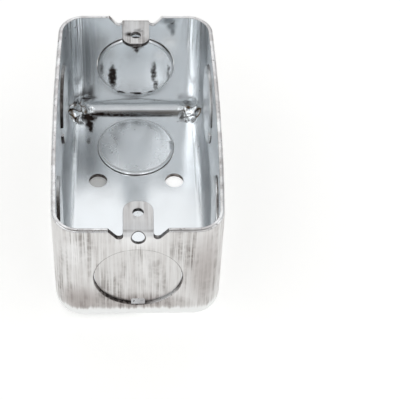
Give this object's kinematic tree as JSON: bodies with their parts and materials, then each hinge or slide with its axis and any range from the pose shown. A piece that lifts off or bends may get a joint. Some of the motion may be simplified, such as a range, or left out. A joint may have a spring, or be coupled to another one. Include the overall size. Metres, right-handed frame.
{
  "type": "handy box",
  "caption": "Deep drawn galvanised steel handy box with round corners, sheared knockouts in its walls and back, and an inward ear with a screw hole at each end for a wiring device.",
  "frame": {"origin": "centre of the flat back, on the surface that the box lies on or is screwed to", "axes": "+Z out of the open mouth, +Y along the length towards the end with the knockout in the back, +X across the width"},
  "size_m": [0.0568, 0.1016, 0.0476],
  "materials": {
    "galvanised_steel": "satin zinc with draw marks"
  },
  "bodies": {
    "root": {"box_body": "galvanised_steel"}
  },
  "joints": []
}
